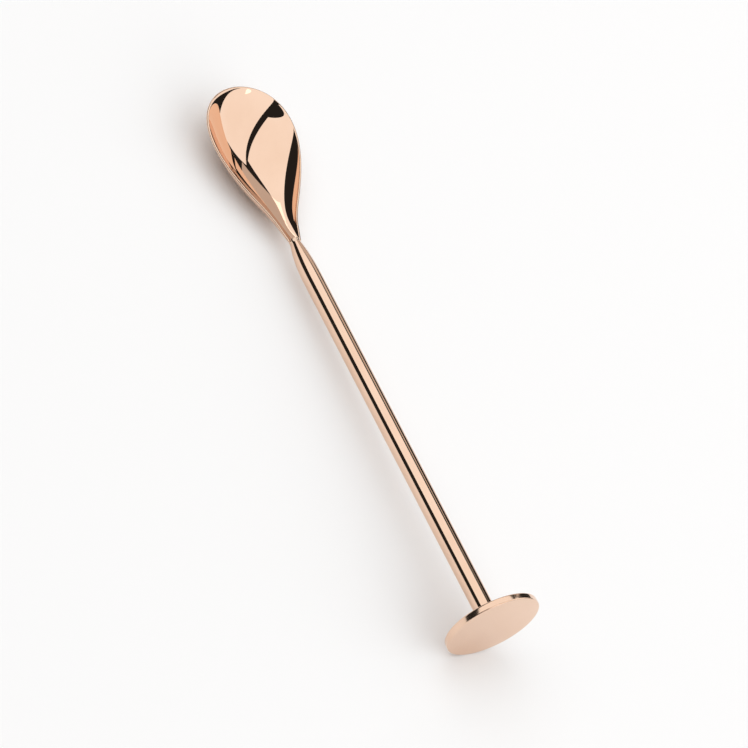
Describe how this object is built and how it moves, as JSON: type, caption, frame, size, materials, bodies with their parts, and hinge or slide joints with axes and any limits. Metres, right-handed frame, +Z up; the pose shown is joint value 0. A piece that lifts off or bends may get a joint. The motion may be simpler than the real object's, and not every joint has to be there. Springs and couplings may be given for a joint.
{
  "type": "bar spoon",
  "caption": "Long mixing spoon with a deep teardrop bowl, a smooth round tube handle drawn down at the bowl's neck, and a flat round muddler disc at the far end.",
  "frame": {"origin": "centre of the bounding box in X and Y, on the plane that the lying spoon rests on", "axes": "+X from the bowl towards the muddler disc, +Z up with the bowl open upwards, symmetric about the plane y = 0"},
  "size_m": [0.2018, 0.0336, 0.0306],
  "materials": {
    "rose_gold_plate": "mirror-polished rose-gold plating on stainless steel",
    "braze_filler": "polished filler under the same rose-gold plating",
    "plug_steel": "turned stainless steel, bare"
  },
  "bodies": {
    "root": {"bowl": "rose_gold_plate", "handle_tube": "rose_gold_plate", "muddler_disc": "rose_gold_plate", "neck_braze": "braze_filler", "disc_weld": "braze_filler", "tube_plug": "plug_steel"}
  },
  "joints": []
}
